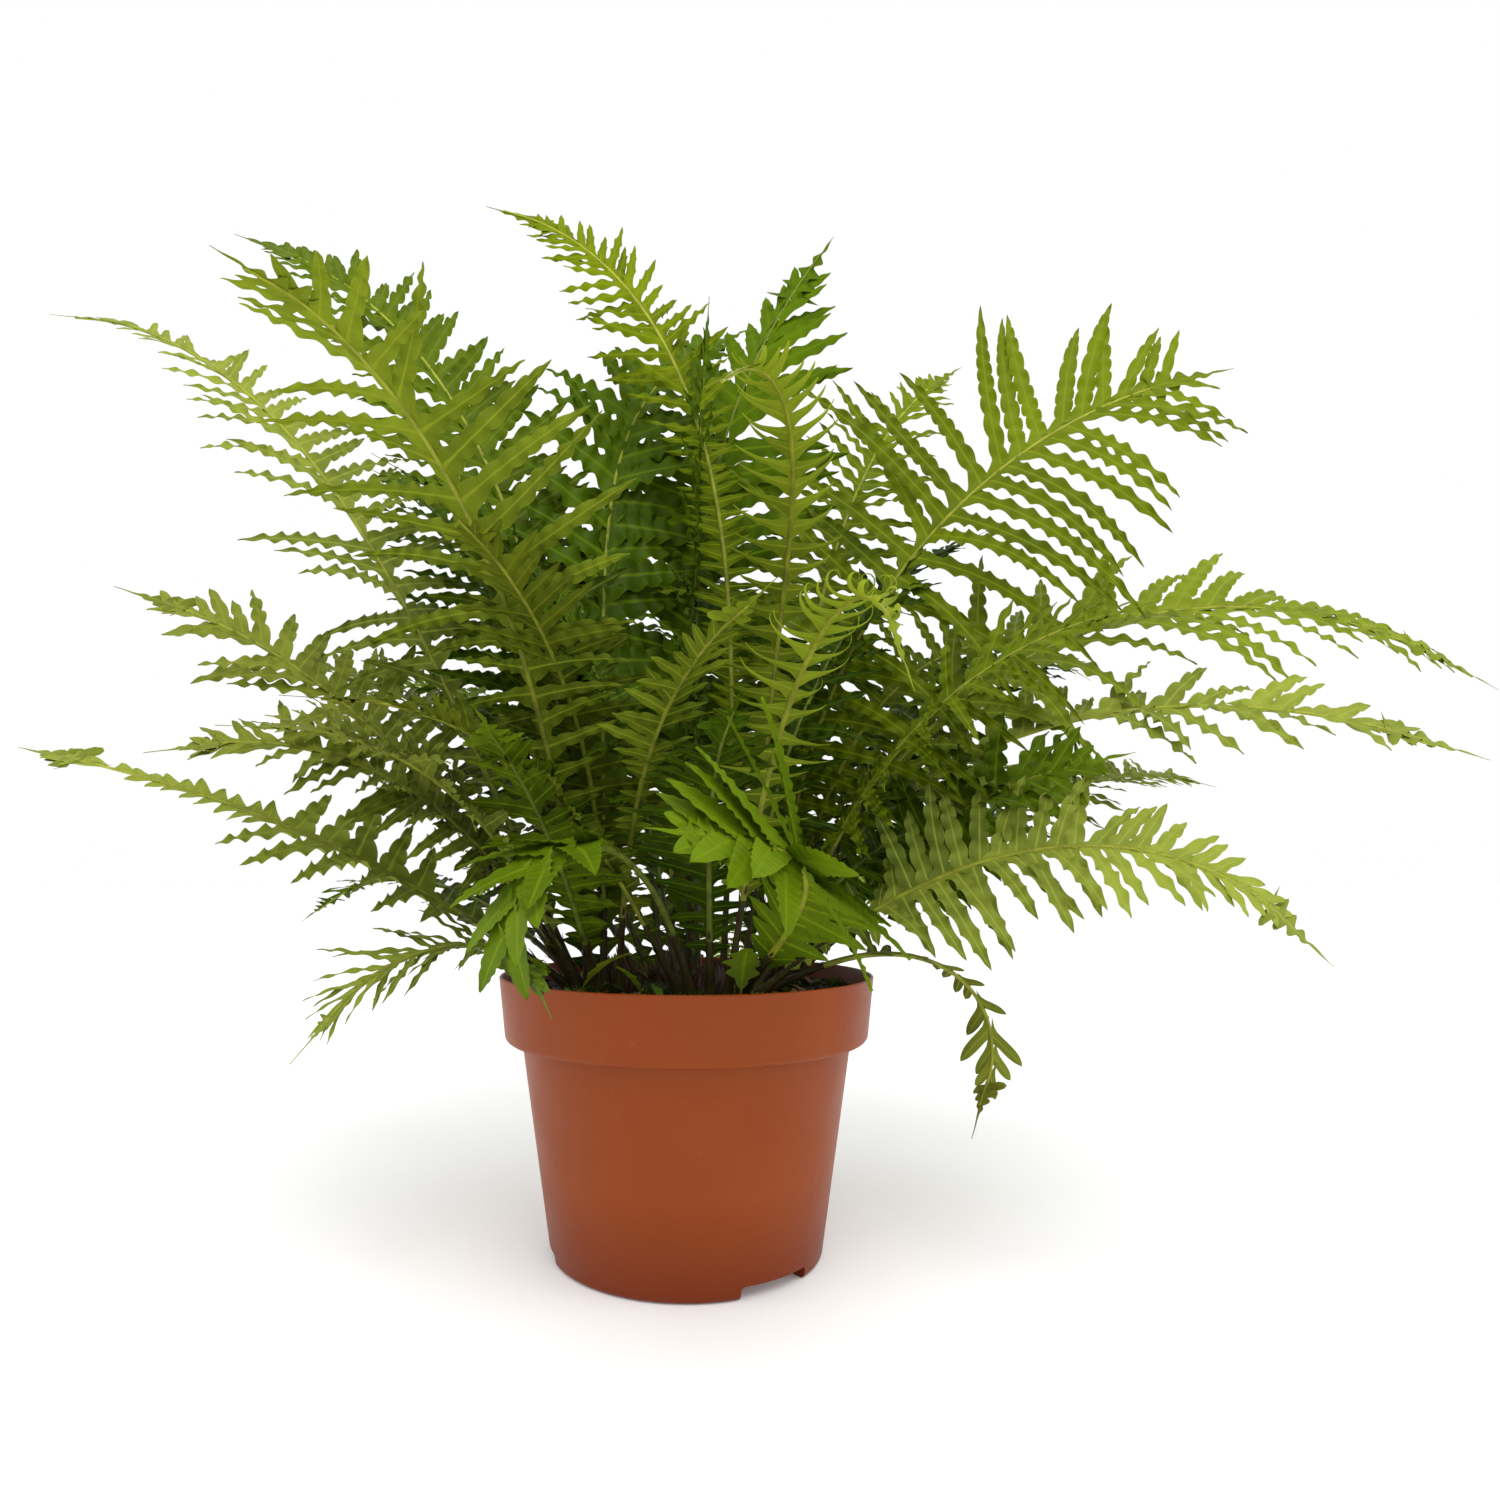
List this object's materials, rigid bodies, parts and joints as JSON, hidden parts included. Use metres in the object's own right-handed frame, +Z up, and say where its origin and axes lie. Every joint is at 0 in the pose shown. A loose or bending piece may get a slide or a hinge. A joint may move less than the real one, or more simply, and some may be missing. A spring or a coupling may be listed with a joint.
{
  "type": "potted fern",
  "caption": "Bushy hard fern with long arching fronds of wavy leaflets, growing from scaly crowns in a round plastic nursery pot.",
  "frame": {"origin": "middle of the pot's flat base, on the surface that it stands on", "axes": "+Z up; -Y towards the front; +X to the right as seen from the front"},
  "size_m": [0.8747, 0.6489, 0.6701],
  "materials": {
    "pot_plastic": "satin",
    "soil": "matte",
    "crown": "matte",
    "frond": "satin",
    "sprout": "satin"
  },
  "bodies": {
    "root": {"pot": "pot_plastic", "soil": "soil", "crown_left": "crown", "crown_front": "crown", "crown_right": "crown", "crown_back": "crown", "frond_01": "frond", "frond_02": "frond", "frond_03": "frond", "frond_04": "frond", "frond_05": "frond", "frond_06": "frond", "frond_07": "frond", "frond_08": "frond", "frond_09": "frond", "frond_10": "frond", "frond_11": "frond", "frond_12": "frond", "frond_13": "frond", "frond_14": "frond", "frond_15": "frond", "frond_16": "frond", "frond_17": "frond", "frond_18": "frond", "frond_19": "frond", "frond_20": "frond", "frond_21": "frond", "frond_22": "frond", "frond_23": "frond", "frond_24": "frond", "frond_25": "frond", "frond_26": "frond", "frond_27": "frond", "frond_28": "frond", "frond_29": "frond", "frond_30": "frond", "frond_31": "frond", "frond_32": "frond", "frond_33": "frond", "frond_34": "frond", "frond_35": "frond", "frond_36": "frond", "frond_37": "frond", "frond_38": "frond", "frond_39": "frond", "frond_40": "frond", "frond_41": "frond", "frond_42": "frond", "frond_43": "frond", "frond_44": "frond", "frond_45": "frond", "frond_46": "frond", "sprout_1": "sprout", "sprout_2": "sprout", "sprout_3": "sprout", "sprout_4": "sprout"}
  },
  "joints": []
}
